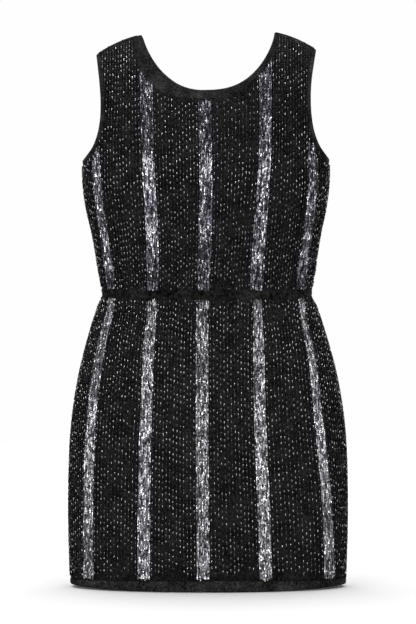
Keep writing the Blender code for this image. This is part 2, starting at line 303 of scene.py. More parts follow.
def angle_of_arc(s, z, side):
    """Angle at an arc length, by halving."""
    low, high = np.zeros_like(s), np.full_like(s, math.pi)
    for _ in range(26):
        mid = (low + high) / 2.0
        over = arc_of_angle(mid, z, side) > s
        high = np.where(over, mid, high)
        low = np.where(over, low, mid)
    return (low + high) / 2.0


# ---- boundary curves ---------------------------------------------------------
def neck_curve(curve, q, extra=0.0):
    """(x, z) on a neck curve: q is 0 at the -X shoulder, pi at +X."""
    hl, hr, deep, ml, mr, nl, nr = NECK[curve]
    left = q < math.pi / 2
    half = np.where(left, hl, hr) + extra
    m, n = np.where(left, ml, mr), np.where(left, nl, nr)
    x = half * np.abs(np.cos(q)) ** (2.0 / m)
    s = np.abs(np.sin(q)) ** (2.0 / n)
    return np.where(left, -x, x), ridge(half) * (1.0 - s) - (deep + extra) * s


def neck_limit(curve, x, extra=0.0):
    """Height of a neck curve at x, or of the shoulder line beyond it."""
    hl, hr, deep, ml, mr, nl, nr = NECK[curve]
    left = x < 0
    half = np.where(left, hl, hr) + extra
    m, n = np.where(left, ml, mr), np.where(left, nl, nr)
    t = np.clip(1.0 - (np.abs(x) / half) ** m, 0.0, 1.0) ** (1.0 / n)
    return np.where(np.abs(x) < half, ridge(half) * (1.0 - t) - (deep + extra) * t, ridge(x))


def armhole_curve(side, width, steps):
    """(x, z) along half an armhole on the +X side, from the side seam to the
    shoulder, moved into the cloth by width."""
    bottom, top = ARMHOLE[0][0], ARMHOLE[-1][0]
    z = bottom + (top - bottom) * (1.0 - np.cos(np.pi * np.arange(steps + 1) / steps)) / 2.0
    x = table(ARMHOLE, 1, z)
    x[-1], z[-1] = SHOULDER_TIP, ridge(SHOULDER_TIP)
    if width == 0.0:
        return x, z
    p = base_point(x, z, side)
    n = base_normal(x, z, side)
    across = np.zeros_like(p)
    tangent = unit(p[2:] - p[:-2])
    across[1:-1] = unit(np.cross(tangent, n[1:-1]))
    flip = np.where(z < -140.0, across[:, 2] > 0, across[:, 0] > 0)
    across[flip] *= -1
    run = math.hypot(1.0, SHOULDER_SLOPE)
    across[0] = (0, 0, -1)
    q = p + across * width
    x2, z2 = q[:, 0].copy(), q[:, 2].copy()
    z2[0] = z[0] - width
    x2[0] = half_width(z2[0])
    x2[-1] = SHOULDER_TIP - width / run
    z2[-1] = ridge(x2[-1])
    deep = (z2 < -130.0) & (np.arange(steps + 1) > 0)
    a = np.arctan2(np.abs(q[:, 1]) / depth(z2, side), q[:, 0] / half_width(z2))
    x2[deep] = (half_width(z2) * np.cos(a))[deep]
    high = ~deep
    high[0] = high[-1] = False
    z2[high] = np.minimum(z2[high], ridge(x2[high]) - 0.02)
    return x2, z2


def hem_height(angle, side):
    middle = np.where(np.asarray(side) == FRONT, HEM_FRONT, HEM_BACK)
    return -LENGTH + HEM_SIDE + (middle - HEM_SIDE) * np.sin(angle) ** 2


# ---- creases -----------------------------------------------------------------
# Soft folds in the cloth: each runs from (x0, z0) to (x1, z1) as seen from its
# own side, width is the reach of the fold to either side, height is how far it
# stands out (a ridge) or in (a trough).
#     side    x0      z0      x1      z1     width  height
CREASES = [
    (FRONT, -150.0, -330.0,  -95.0, -345.0,   9.0,   1.3),
    (FRONT, -140.0, -352.0,  -70.0, -360.0,   7.0,  -1.0),
    (FRONT,   60.0, -352.0,  140.0, -338.0,   8.0,   1.2),
    (FRONT,  100.0, -362.0,  150.0, -352.0,   6.0,  -0.9),
    (FRONT,  -30.0, -345.0,   45.0, -352.0,   9.0,   0.9),
    (FRONT,  150.0, -200.0,  120.0, -262.0,  12.0,   1.1),
    (FRONT, -152.0, -205.0, -128.0, -250.0,  12.0,   1.0),
    (FRONT, -120.0, -392.0, -132.0, -470.0,   9.0,   1.2),
    (FRONT,  -58.0, -392.0,  -66.0, -452.0,   8.0,   1.0),
    (FRONT,   28.0, -392.0,   30.0, -460.0,   9.0,  -0.9),
    (FRONT,  108.0, -392.0,  124.0, -476.0,   9.0,   1.1),
    (FRONT,  -40.0, -640.0,  -52.0, -790.0,  22.0,   1.3),
    (FRONT,   60.0, -600.0,   78.0, -780.0,  24.0,  -1.2),
    (BACK,  -130.0, -350.0,  -60.0, -338.0,   8.0,   1.3),
    (BACK,    50.0, -344.0,  130.0, -356.0,   9.0,   1.2),
    (BACK,   -35.0, -358.0,   40.0, -352.0,   8.0,  -1.0),
    (BACK,  -112.0, -392.0, -126.0, -468.0,   9.0,   1.1),
    (BACK,    44.0, -392.0,   50.0, -455.0,   9.0,   1.0),
    (BACK,   118.0, -392.0,  130.0, -462.0,   8.0,  -0.9),
    (BACK,    20.0, -620.0,   30.0, -780.0,  24.0,   1.2),
]
PUCKERS = {key: [(rng.uniform(7.5, 19.0), rng.uniform(0, 2 * math.pi), rng.uniform(0.5, 1.0))
                 for _ in range(7)] for key in ("bodice", "waist", "skirt")}


def ripple(key, s, side):
    """Uneven gathers along the waist, about -1 to 1."""
    total = 0.0
    shift = np.where(np.asarray(side) == FRONT, 0.0, 137.0)
    for wave, phase, weight in PUCKERS[key]:
        total = total + weight * np.sin(2 * np.pi * (s + shift) / wave + phase)
    return total / 3.0


def relief(angle, z, side):
    """How far the cloth stands out from its smooth form."""
    x = -half_width(z) * np.cos(angle)
    s = arc_of_angle(angle, z, side)
    up = np.maximum(z - WAIST_TOP, 0.0)
    down = np.maximum(WAIST_BOTTOM - z, 0.0)
    out = np.where(z > WAIST_BOTTOM,
                   1.0 * np.exp(-up / 20.0) * ripple("bodice", s, side),
                   1.1 * np.exp(-down / 26.0) * ripple("skirt", s, side))
    for side_, x0, z0, x1, z1, width, height in CREASES:
        dx, dz = x1 - x0, z1 - z0
        run = math.hypot(dx, dz)
        t = ((x - x0) * dx + (z - z0) * dz) / run ** 2
        off = np.abs((x - x0) * dz - (z - z0) * dx) / run
        along = np.clip(t, 0.0, 1.0)
        ends = np.exp(-((t - along) * run / (1.6 * width)) ** 2)
        fade = np.sin(np.pi * np.clip(0.12 + 0.76 * along, 0, 1))
        out = out + np.where(np.asarray(side) == side_, height, 0.0) * ends * fade \
            * np.exp(-(off / width) ** 2)
    return out


def cloth(angle, z, side, lift=0.0):
    """Points and normals of the creased cloth, moved out by lift."""
    x = -half_width(z) * np.cos(angle)
    p = base_point(x, z, side)
    n = base_normal(x, z, side)
    r = relief(angle, z, side)
    ea, ez = 0.004, 0.6
    along = unit(np.stack([half_width(z) * np.sin(angle),
                           side * depth(z, side) * np.cos(angle), 0.0 * z], axis=-1))
    along = unit(along - n * np.sum(along * n, axis=-1, keepdims=True))
    up = np.cross(along, n)
    up = np.where(up[..., 2:3] < 0, -up, up)
    speed = np.hypot(half_width(z) * np.sin(angle), depth(z, side) * np.cos(angle))
    ga = (relief(angle + ea, z, side) - relief(angle - ea, z, side)) / (2 * ea) / speed
    gz = (relief(angle, z + ez, side) - relief(angle, z - ez, side)) / (2 * ez)
    n2 = unit(n - along * ga[..., None] - up * gz[..., None])
    return p + n * (r + lift)[..., None], n2


# ---- mesh making -------------------------------------------------------------
def new_mesh(name, verts, faces, mats, mat_index=None, smooth=True):
    """faces is an (n, k) array, or a list of such arrays of different k."""
    groups = faces if isinstance(faces, list) else [faces]
    mesh = bpy.data.meshes.new(name)
    verts = settle(np.asarray(verts, float)).astype(np.float32) * MM
    mesh.vertices.add(len(verts))
    mesh.vertices.foreach_set("co", verts.ravel())
    loops = np.concatenate([np.asarray(g, np.int32).ravel() for g in groups])
    sizes = np.concatenate([np.full(len(g), g.shape[1], np.int32) for g in groups])
    mesh.loops.add(len(loops))
    mesh.loops.foreach_set("vertex_index", loops)
    mesh.polygons.add(len(sizes))
    mesh.polygons.foreach_set("loop_start", np.concatenate([[0], np.cumsum(sizes)[:-1]]).astype(np.int32))
    mesh.polygons.foreach_set("loop_total", sizes)
    for m in mats:
        mesh.materials.append(m)
    if mat_index is not None:
        mesh.polygons.foreach_set("material_index", np.asarray(mat_index, np.int32))
    mesh.polygons.foreach_set("use_smooth", np.full(len(sizes), smooth))
    mesh.update(calc_edges=True)
    mesh.validate()
    obj = bpy.data.objects.new(name, mesh)
    bpy.context.scene.collection.objects.link(obj)
    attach(obj, "root")
    return obj


def wall_faces(rows, cols, closed):
    """Quads of a closed wall whose outer grid comes first, then the inner one."""
    def at(layer, i, j):
        return layer * rows * cols + i * cols + j
    span = cols if closed else cols - 1
    i, j = np.meshgrid(np.arange(rows - 1), np.arange(span), indexing="ij")
    i, j = i.ravel(), j.ravel()
    k = (j + 1) % cols
    out = np.stack([at(0, i, j), at(0, i, k), at(0, i + 1, k), at(0, i + 1, j)], 1)
    inn = np.stack([at(1, i, j), at(1, i + 1, j), at(1, i + 1, k), at(1, i, k)], 1)
    j = np.arange(span)
    k = (j + 1) % cols
    z = np.zeros(span, int)
    last = z + rows - 1
    low = np.stack([at(0, z, j), at(1, z, j), at(1, z, k), at(0, z, k)], 1)
    top = np.stack([at(0, last, j), at(0, last, k), at(1, last, k), at(1, last, j)], 1)
    parts = [out, inn, low, top]
    if not closed:
        i = np.arange(rows - 1)
        z = np.zeros(rows - 1, int)
        e = z + cols - 1
        parts += [np.stack([at(0, i, z), at(0, i + 1, z), at(1, i + 1, z), at(1, i, z)], 1),
                  np.stack([at(0, i, e), at(1, i, e), at(1, i + 1, e), at(0, i + 1, e)], 1)]
    return np.concatenate(parts)


def wall(name, outer, inner, closed, mats, flip=False):
    rows, cols = outer.shape[:2]
    faces = wall_faces(rows, cols, closed)
    if flip:
        faces = faces[:, ::-1]
    verts = np.concatenate([outer.reshape(-1, 3), inner.reshape(-1, 3)])
    return new_mesh(name, verts, faces, mats)


# bead shapes along +Z, one unit long and one unit in radius
def ring(n, r, z, turn=0.0):
    a = 2 * np.pi * (np.arange(n) + turn) / n
    return np.stack([r * np.cos(a), r * np.sin(a), np.full(n, z)], 1)


def tube_shape(n):
    """A short cut tube with closed ends."""
    verts = np.concatenate([ring(n, 1, -0.5), ring(n, 1, 0.5)])
    j = np.arange(n)
    k = (j + 1) % n
    sides = np.stack([j, k, k + n, j + n], 1)
    caps = np.stack([np.arange(n)[::-1], np.arange(n) + n])
    return verts, [sides, caps]


def seed_shape(n):
    """A faceted bead, widest in the middle."""
    verts = np.concatenate([[[0, 0, -0.5]], ring(n, 1, 0.0), [[0, 0, 0.5]]])
    j = np.arange(n) + 1
    k = np.arange(n) % n + 2
    k[-1] = 1
    low = np.stack([np.zeros(n, int), k, j], 1)
    top = np.stack([np.full(n, n + 1), j, k], 1)
    return verts, [np.concatenate([low, top])]


def string_beads(name, shape, centre, tangent, normal, radius, length, mats, pick=None,
                 tilt=0.0, smooth=True, spin=None):
    """One joined mesh with a bead at each centre, its length along tangent."""
    n = len(centre)
    if n == 0:
        return None
    verts, groups = shape
    t = unit(tangent)
    across = unit(np.cross(t, normal))
    out = np.cross(across, t)
    if np.any(tilt):
        a, b = (rng.normal(0, 1.0, n) * tilt)[:, None], (rng.normal(0, 1.0, n) * tilt)[:, None]
        t = unit(t + a * across + b * out)
        across = unit(np.cross(t, out))
        out = np.cross(across, t)
    spin = (rng.uniform(0, 2 * np.pi, n) if spin is None else spin)[:, None]
    across, out = (np.cos(spin) * across + np.sin(spin) * out,
                   -np.sin(spin) * across + np.cos(spin) * out)
    radius = np.broadcast_to(radius, n)[:, None, None]
    length = np.broadcast_to(length, n)[:, None, None]
    local = verts[None]
    world = (centre[:, None] + across[:, None] * local[..., 0:1] * radius
             + out[:, None] * local[..., 1:2] * radius + t[:, None] * local[..., 2:3] * length)
    offset = (np.arange(n) * len(verts))[:, None, None]
    faces = [(g[None] + offset).reshape(-1, g.shape[1]) for g in groups]
    index = None
    if pick is not None:
        index = np.concatenate([np.repeat(pick, len(g)) for g in groups])
    return new_mesh(name, world.reshape(-1, 3), faces, mats, index, smooth)


# ---- materials -----------------------------------------------------------------
def principled(name, colour, roughness, metallic=0.0, **sockets):
    mat = bpy.data.materials.new(name)
    mat.use_nodes = True
    tree = mat.node_tree
    bsdf = tree.nodes["Principled BSDF"]
    bsdf.inputs["Base Color"].default_value = (*colour, 1.0)
    bsdf.inputs["Roughness"].default_value = roughness
    bsdf.inputs["Metallic"].default_value = metallic
    for key, value in sockets.items():
        bsdf.inputs[key.replace("_", " ")].default_value = value
    return mat, tree, bsdf


def noise(tree, scale, detail=2.0):
    coords = tree.nodes.new("ShaderNodeTexCoord")
    node = tree.nodes.new("ShaderNodeTexNoise")
    node.inputs["Scale"].default_value = scale
    node.inputs["Detail"].default_value = detail
    tree.links.new(coords.outputs["Object"], node.inputs["Vector"])
    return node


def ramp(tree, source, stops):
    node = tree.nodes.new("ShaderNodeValToRGB")
    while len(node.color_ramp.elements) < len(stops):
        node.color_ramp.elements.new(0.5)
    for element, (place, colour) in zip(node.color_ramp.elements, stops):
        element.position = place
        element.color = (*colour, 1.0) if len(colour) == 3 else colour
    tree.links.new(source, node.inputs["Fac"])
    return node


def to_range(tree, source, low, high, start=0.3, end=0.7):
    node = tree.nodes.new("ShaderNodeMapRange")
    node.inputs["From Min"].default_value = start
    node.inputs["From Max"].default_value = end
    node.inputs["To Min"].default_value = low
    node.inputs["To Max"].default_value = high
    tree.links.new(source, node.inputs["Value"])
    return node


def bead_material(name, dark, light, rough, metallic, scale=260.0, **sockets):
    """Glass beads whose colour and polish vary a little from bead to bead."""
    mat, tree, bsdf = principled(name, light, rough, metallic, **sockets)
    n = noise(tree, scale, 1.0)
    r = ramp(tree, n.outputs["Fac"], [(0.32, dark), (0.68, light)])
    tree.links.new(r.outputs["Color"], bsdf.inputs["Base Color"])
    n2 = noise(tree, scale * 1.7, 1.0)
    m = to_range(tree, n2.outputs["Fac"], rough * 0.7, min(1.0, rough * 1.45))
    tree.links.new(m.outputs["Result"], bsdf.inputs["Roughness"])
    return mat


def cloth_material(name, dark, light, rough, specular, thread, bump, grain=620.0, broad=45.0, crumple=0.0012,
                   fade=None, patchy=0.55):
    """Woven cloth: threads both ways, crinkled, uneven of colour in fine grain
    and, as much as patchy says, in broad patches. fade is (lowest height,
    highest height, how much darker the top is): painted shade."""
    mat, tree, bsdf = principled(name, light, rough, 0.0, Specular_IOR_Level=specular)
    coords = tree.nodes.new("ShaderNodeTexCoord")
    waves = []
    for direction in ("X", "Z"):
        wave = tree.nodes.new("ShaderNodeTexWave")
        wave.wave_type = "BANDS"
        wave.bands_direction = direction
        wave.inputs["Scale"].default_value = 0.314 / thread
        wave.inputs["Distortion"].default_value = 0.6
        wave.inputs["Detail"].default_value = 1.0
        tree.links.new(coords.outputs["Object"], wave.inputs["Vector"])
        waves.append(wave)
    mix = tree.nodes.new("ShaderNodeMath")
    mix.operation = "MULTIPLY"
    tree.links.new(waves[0].outputs["Fac"], mix.inputs[0])
    tree.links.new(waves[1].outputs["Fac"], mix.inputs[1])
    fine = tree.nodes.new("ShaderNodeBump")
    fine.inputs["Strength"].default_value = bump
    fine.inputs["Distance"].default_value = 0.0003
    tree.links.new(mix.outputs["Value"], fine.inputs["Height"])
    crinkle = tree.nodes.new("ShaderNodeBump")
    crinkle.inputs["Strength"].default_value = 0.8
    crinkle.inputs["Distance"].default_value = crumple
    tree.links.new(noise(tree, 330.0, 3.0).outputs["Fac"], crinkle.inputs["Height"])
    tree.links.new(fine.outputs["Normal"], crinkle.inputs["Normal"])
    tree.links.new(crinkle.outputs["Normal"], bsdf.inputs["Normal"])
    total = tree.nodes.new("ShaderNodeMath")
    total.operation = "MULTIPLY_ADD"
    tree.links.new(noise(tree, broad, 1.0).outputs["Fac"], total.inputs[0])
    total.inputs[1].default_value = patchy
    tree.links.new(noise(tree, grain, 4.0).outputs["Fac"], total.inputs[2])
    value = total.outputs["Value"]
    # painted shade: darker towards the top of the piece
    if fade:
        split = tree.nodes.new("ShaderNodeSeparateXYZ")
        tree.links.new(coords.outputs["Object"], split.inputs["Vector"])
        less = tree.nodes.new("ShaderNodeMath")
        less.operation = "SUBTRACT"
        tree.links.new(value, less.inputs[0])
        tree.links.new(to_range(tree, split.outputs["Z"], 0.0, fade[2], fade[0], fade[1]).outputs["Result"],
                       less.inputs[1])
        value = less.outputs["Value"]
    middle = 0.5 + 0.5 * patchy
    r = ramp(tree, to_range(tree, value, 0.0, 1.0, middle - 0.225, middle + 0.225).outputs["Result"],
             [(0.08, dark), (0.5, tuple(0.62 * a + 0.38 * b for a, b in zip(dark, light))), (0.94, light)])
    tree.links.new(r.outputs["Color"], bsdf.inputs["Base Color"])
    return mat


MAT = {
    "net": cloth_material("net", (0.0022, 0.0022, 0.0023), (0.020, 0.020, 0.021), 0.9, 0.06, 0.0009, 0.5, 330.0),
    "plain": cloth_material("plain", (0.003, 0.003, 0.003), (0.044, 0.044, 0.044), 0.8, 0.08, 0.0007, 0.7, 430.0,
                            45.0, 0.0016),
    # painted shade: the neck binding is darker towards its top, near the shoulders
    "neck": cloth_material("neck", (0.003, 0.003, 0.003), (0.047, 0.0465, 0.0455), 0.8, 0.08, 0.0007, 0.7, 470.0,
                           60.0, 0.0018, (-0.078, -0.035, 0.10), 0.46),
    # painted shade: the hem band is darker towards its top edge, under the beading
    "hemmed": cloth_material("hemmed", (0.003, 0.003, 0.003), (0.0455, 0.045, 0.044), 0.8, 0.08, 0.0007, 0.7, 320.0,
                             42.0, 0.0018, (-0.8115, -0.8000, 0.035)),
    # painted shade: the gathered casing is darker than the bindings, for the shade in the pinched waist
    "gathered": cloth_material("gathered", (0.0005, 0.0005, 0.0005), (0.0245, 0.0241, 0.0235), 0.8, 0.06, 0.0007,
                               0.7, 210.0, 45.0, 0.0030),
    "bugle_dark": bead_material("bugle_dark", (0.0020, 0.0020, 0.0021), (0.006, 0.006, 0.0062), 0.34, 0.0,
                                Specular_IOR_Level=0.10),
    "bugle": bead_material("bugle", (0.0025, 0.0025, 0.0027), (0.008, 0.008, 0.0085), 0.24, 0.0,
                           Specular_IOR_Level=0.22),
    "bugle_bright": bead_material("bugle_bright", (0.0035, 0.0035, 0.0038), (0.011, 0.011, 0.012), 0.26, 0.0,
                                  Specular_IOR_Level=0.50),
    # painted glints: the short beads come in a dark, a half bright and a bright copy, picked where light would catch
    # them
    "seed_painted_dark": bead_material("seed_painted_dark", (0.006, 0.006, 0.007), (0.032, 0.032, 0.035), 0.26, 0.3),
    "seed_painted_half_glint": bead_material("seed_painted_half_glint", (0.15, 0.15, 0.155), (0.36, 0.36, 0.37), 0.27, 0.9),
    "seed_painted_glint": bead_material("seed_painted_glint", (0.56, 0.56, 0.57), (0.90, 0.90, 0.91), 0.27, 0.95),
    # painted shade: the bodice copies of the silver stripe beads are darker and a little more violet than the skirt
    # copies; within each, the dark, mid and bright copies paint the sheen
    "spark_dark_upper": bead_material("spark_dark_upper", (0.038, 0.036, 0.044), (0.082, 0.078, 0.095), 0.28, 0.8),
    "spark_mid_upper": bead_material("spark_mid_upper", (0.15, 0.145, 0.171), (0.28, 0.273, 0.313), 0.28, 0.9),
    "spark_bright_upper": bead_material("spark_bright_upper", (0.46, 0.45, 0.48), (0.72, 0.71, 0.745), 0.30, 0.95),
    "spark_dark_lower": bead_material("spark_dark_lower", (0.050, 0.049, 0.056), (0.12, 0.119, 0.132), 0.28, 0.8),
    "spark_mid_lower": bead_material("spark_mid_lower", (0.24, 0.236, 0.256), (0.45, 0.445, 0.478), 0.29, 0.9),
    "spark_bright_lower": bead_material("spark_bright_lower", (0.50, 0.495, 0.52), (0.70, 0.695, 0.725), 0.31, 0.95),
}


# ---- shells --------------------------------------------------------------------
def bodice_grid(side, low_rows=20, high_rows=34, strap=16, neck=100, reach=2.0):
    """Angles and heights of the base cloth, which runs a little under the
    bindings and the casing."""
    ex, ez = armhole_curve(side, ARMHOLE_BAND - reach, high_rows)
    corner, top = ez[0], ez[-1]
    shares = (ez - corner) / (top - corner)
    ea = math.pi - angle_of_x(ex, ez)
    ea[0] = 0.0
    curve = "front_out" if side == FRONT else "back_out"

    def limit(z):
        return np.where(z <= corner, 0.0, np.interp(z, ez, ea))

    q = np.pi * np.arange(neck + 1) / neck
    nx, nz = neck_curve(curve, q, -reach)
    la = limit(nz)
    w_neck = (angle_of_x(nx, nz) - la) / (math.pi - 2 * la)
    w = np.concatenate([w_neck[0] * np.arange(strap) / strap, w_neck,
                        w_neck[-1] + (1 - w_neck[-1]) * np.arange(1, strap + 1) / strap])
    z_top = np.full(len(w), np.nan)
    z_top[strap:strap + neck + 1] = nz
    free = np.isnan(z_top)
    guess = np.full(free.sum(), -10.0)
    for _ in range(80):
        la = limit(guess)
        x = -half_width(guess) * np.cos(la + (math.pi - 2 * la) * w[free])
        guess = ridge(x)
    z_top[free] = guess
    low = WAIST_TOP - reach + (corner - WAIST_TOP + reach) * (np.arange(low_rows) / low_rows) ** 1.25
    z = np.concatenate([np.repeat(low[:, None], len(w), 1),
                        corner + (z_top - corner)[None] * shares[:, None]])
    la = limit(z)
    angle = la + (math.pi - 2 * la) * w[None]
    rows = low_rows + np.arange(len(shares))
    for column, sign in ((0, 1), (-1, -1)):
        z[rows, column] = ez
        angle[rows, column] = ea if sign == 1 else math.pi - ea
    return angle, z


def skirt_grid(side, rows=56, cols=150, reach=2.0):
    a = np.pi * np.arange(cols + 1) / cols
    low = hem_height(a, side) - reach
    share = (np.arange(rows + 1) / rows) ** 1.35
    z = (WAIST_BOTTOM + reach) + (low - WAIST_BOTTOM - reach)[None] * share[:, None]
    return np.repeat(a[None], rows + 1, 0), z


def crown(x, z):
    """1 on the shoulder line, falling away below it."""
    return np.where(z > -70.0, np.exp(-np.maximum(ridge(x) - z, 0.0) / 7.0), 0.0)


def shell(name, grid, side, node):
    angle, z = grid
    outer, _ = cloth(angle, z, side, -1.75 + 1.8 * crown(-half_width(z) * np.cos(angle), z)
                     + 0.6 * np.abs(np.cos(angle)) ** 8)
    inner, _ = cloth(angle, z, side, -PANEL_WALL + 0.1)
    up = z[-1].mean() > z[0].mean()
    obj = wall(name, outer, inner, False, [MAT["net"]], flip=(side == BACK) != (not up))
    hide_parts(node)
    return obj


# ---- strings of beads ------------------------------------------------------------
def strings(side, zs, part):
    """Sideways places of the bead strings of a panel: kind, highest and lowest
    z, the arc length from the middle of the panel at each height zs, and the
    number of the stripe."""
    rows = STRIPES_FRONT if side == FRONT else STRIPES_BACK
    sway = table(SWAY, 1, zs)
    middle = [arc_of_angle(angle_of_x(table(rows, k, zs) - sway, zs), zs, side) for k in range(1, 6)]
    widths = [table(STRIPE_WIDTH, k, zs) for k in range(1, 6)]
    lo = np.interp(zs, ARC_Z, ARCS[side][:, 0])
    hi = np.interp(zs, ARC_Z, ARCS[side][:, -1])
    out = []
    for k, (s, width) in enumerate(zip(middle, widths)):
        top = OUTER_TOP if part == "bodice" and k in (0, 4) else 1.0
        for c in range(STRIPE_COLS):
            # the outer stripes begin with a few strings and fill out below
            start = rng.uniform(-1.0, 3.0) - (5.5 * abs(c - 4.2) if c % 3 else 0.0) if top < 0 else 0.0
            out.append(("spark", top + start, -900.0, s + width * ((c + 0.5) / STRIPE_COLS - 0.5), k))
        if top < 0.0:
            for c in range(4):
                out.append(("black", 1.0, top + (3.0 if c in (1, 2) else -8.0),
                            s + width * ((c + 0.5) / 4 - 0.5), -1))
    for k in range(4):
        a, b = middle[k] + widths[k] / 2, middle[k + 1] - widths[k + 1] / 2
        for c in range(BLACK_COLS):
            out.append(("black", 1.0, -900.0, a + (b - a) * (c + 0.5) / BLACK_COLS, -1))
    for sign, s, width, limit in ((-1, middle[0], widths[0], lo), (1, middle[4], widths[4], hi)):
        for c in range(16):
            line = s + sign * (width / 2 + SIDE_PITCH * (c + 0.5) + 0.10 * c * c)
            inside = sign * (limit - line) > 3.6
            if inside.any():
                out.append(("black", 1.0, -900.0, np.where(inside, line, limit + sign * 50.0), -1))
        out.append(("black", 1.0, -900.0, limit - sign * 1.5, -1))
    return out, lo, hi


def wander(n, zs, near_waist):
    """Each string strays a little from its line, more beside the gathers."""
    total = np.zeros((n, len(zs)))
    for wave in (17.0, 29.0, 53.0, 97.0):
        wave_n = wave * rng.uniform(0.8, 1.25, (n, 1))
        total += np.sin(2 * np.pi * zs[None] / wave_n + rng.uniform(0, 2 * np.pi, (n, 1)))
    return total * (0.14 + 0.32 * near_waist[None])


def waver(s, side, phase):
    """Uneven edge of the beading beside the gathers, -1 to 1, along the waist."""
    s = s + (0.0 if side == FRONT else 207.0)
    return (np.sin(s / 3.9 + phase) + 1.2 * np.sin(s / 7.3 + 2.1 * phase) + np.sin(s / 15.0 + 1.0 + phase)
            + 0.7 * np.sin(s / 2.3 + phase)) / 3.2


def bead_places(part, side):
    """Centres, directions and normals of every bead on one panel."""
    if part == "bodice":
        z_low, z_high = WAIST_TOP - 0.6, -0.2
        armx, armz = armhole_curve(side, ARMHOLE_BAND + 1.5, 40)
        curve = "front_out" if side == FRONT else "back_out"
    else:
        z_low, z_high = -LENGTH + 5.0, WAIST_BOTTOM + 0.6
    zs = np.linspace(z_low, z_high, 120)
    lines, lo, hi = strings(side, zs, part)
    n = len(lines)
    near_waist = np.exp(-np.minimum(np.abs(zs - WAIST_TOP), np.abs(zs - WAIST_BOTTOM)) / 26.0)
    place = np.stack([line for _, _, _, line, _ in lines]) + wander(n, zs, near_waist)

    def along(z):
        """Arc lengths of the strings at heights z, an array of a row for each."""
        f = np.clip((z - zs[0]) / (zs[1] - zs[0]), 0, len(zs) - 1.001)
        i = f.astype(int)
        u = f - i
        r = np.arange(n)[:, None]
        return place[r, i] * (1 - u) + place[r, i + 1] * u

    if part == "bodice":
        # the strings run up to the shoulder line, with close steps there
        z_end = np.full((n, 1), -5.0)
        for _ in range(14):
            a_end = angle_of_arc(along(z_end), z_end, side)
            z_end = np.minimum(-0.3, ridge(-half_width(z_end) * np.cos(a_end)))
        z = z_low + (z_end - z_low) * np.sin(np.linspace(0, np.pi / 2, 130))[None]
    else:
        z = np.repeat(np.linspace(z_high, z_low, 110)[None], n, 0)
    s = along(z)
    a = angle_of_arc(s, z, side)
    p = base_point(-half_width(z) * np.cos(a), z, side)
    run = np.concatenate([np.zeros((n, 1)),
                          np.cumsum(np.linalg.norm(np.diff(p, axis=1), axis=2), axis=1)], axis=1)

    rows = {"bugle": [], "seed": [], "spark": []}
    phase = 0.0
    turns = rng.uniform(0, 2 * np.pi, n)
    for k, (kind, top, low, _, stripe) in enumerate(lines):
        if kind == "spark":
            step, kinds = SPARK_PITCH, (("spark", 0.5, SPARK_LONG),)
            start = rng.uniform(0, 1) * step - step
        else:
            step = PITCH
            kinds = (("bugle", 0.28, BUGLE_LONG), ("seed", 0.78, SEED_LONG))
            # neighbouring strings fall in rows, or half a step apart
            phase = (phase + (0.5 if rng.uniform() < 0.5 else 0.14) + rng.normal(0, 0.13)) % 1.0
            start = phase * step - step
        count = int(run[k, -1] / step) + 2
        ends = rng.uniform(0.2, 2.6, 2)
        for label, place_, size in kinds:
            at = start + (np.arange(count) + place_) * step + rng.normal(0, 0.03 * step, count)
            at = at[(at > size * 0.45) & (at < run[k, -1] - size * 0.45)]
            at3 = at[:, None] + np.array([-size / 2, 0.0, size / 2])
            z3, a3, s3 = (np.interp(at3, run[k], v[k]) for v in (z, a, s))
            turn = turns[k] + np.cumsum(rng.normal(0, 0.20, len(at)))
            fixed = np.column_stack([np.repeat([[top, low, ends[0], ends[1], k, stripe]], len(at), 0), turn])
            rows[label].append(np.concatenate([z3, a3, s3, fixed], axis=1))
    beads = {}
    for label, parts in rows.items():
        t = np.concatenate(parts)
        z3, a3, s3 = t[:, 0:3], t[:, 3:6], t[:, 6:9]
        top, low, end0, end1 = (t[:, 9 + i][:, None] for i in range(4))
        x3 = -half_width(z3) * np.cos(a3)
        ok = (s3 > np.interp(z3, zs, lo) + 1.1) & (s3 < np.interp(z3, zs, hi) - 1.1)
        ok &= (z3 < top) & (z3 > low)
        over = 1.0 if label == "bugle" else 0.6
        if part == "bodice":
            hang = 2.3 + 3.8 * waver(s3, side, 0.0) + 1.9 * (end0 - 1.4)
            ok &= z3 > WAIST_TOP - over * hang
            ok &= z3 < neck_limit(curve, x3, 1.0) - 1.0 * end1 - (3.0 if label == "seed" else 0.0)
            ok &= z3 < ridge(x3) + 0.05
            ok &= np.abs(x3) < np.where(z3 > armz[0], np.interp(z3, armz, armx), 1e9)
        else:
            hang = 0.6 + 2.6 * waver(s3, side, 2.0) + 1.5 * (end0 - 1.4)
            ok &= z3 < WAIST_BOTTOM + over * hang
            rise = {"seed": 2.6 + 3.0 * end1, "spark": 1.7 * end1 - 1.4, "bugle": 1.5 * end1 - 2.2}[label]
            ok &= z3 > hem_height(a3, side) + rise
        t = t[ok.all(axis=1)]
        low_p, _ = cloth(t[:, 3], t[:, 0], side)
        proud = 1.8 * crown(x3[ok.all(axis=1), 1], t[:, 1]) + 0.75 * np.abs(np.cos(t[:, 4])) ** 8
        over_casing = np.clip((WAIST_TOP - t[:, 1]) / 2.0, 0, 1) * np.clip((t[:, 1] - WAIST_BOTTOM) / 2.0, 0, 1)
        mid, normal = cloth(t[:, 4], t[:, 1], side, proud + 1.7 * over_casing)
        high_p, _ = cloth(t[:, 5], t[:, 2], side)
        tangent = unit(high_p - low_p)
        tangent[tangent[:, 2] < 0] *= -1
        beads[label] = (mid, tangent, normal, t[:, 1], t[:, 7], t[:, 13].astype(int), t[:, 14].astype(int),
                        t[:, 15])
    return beads


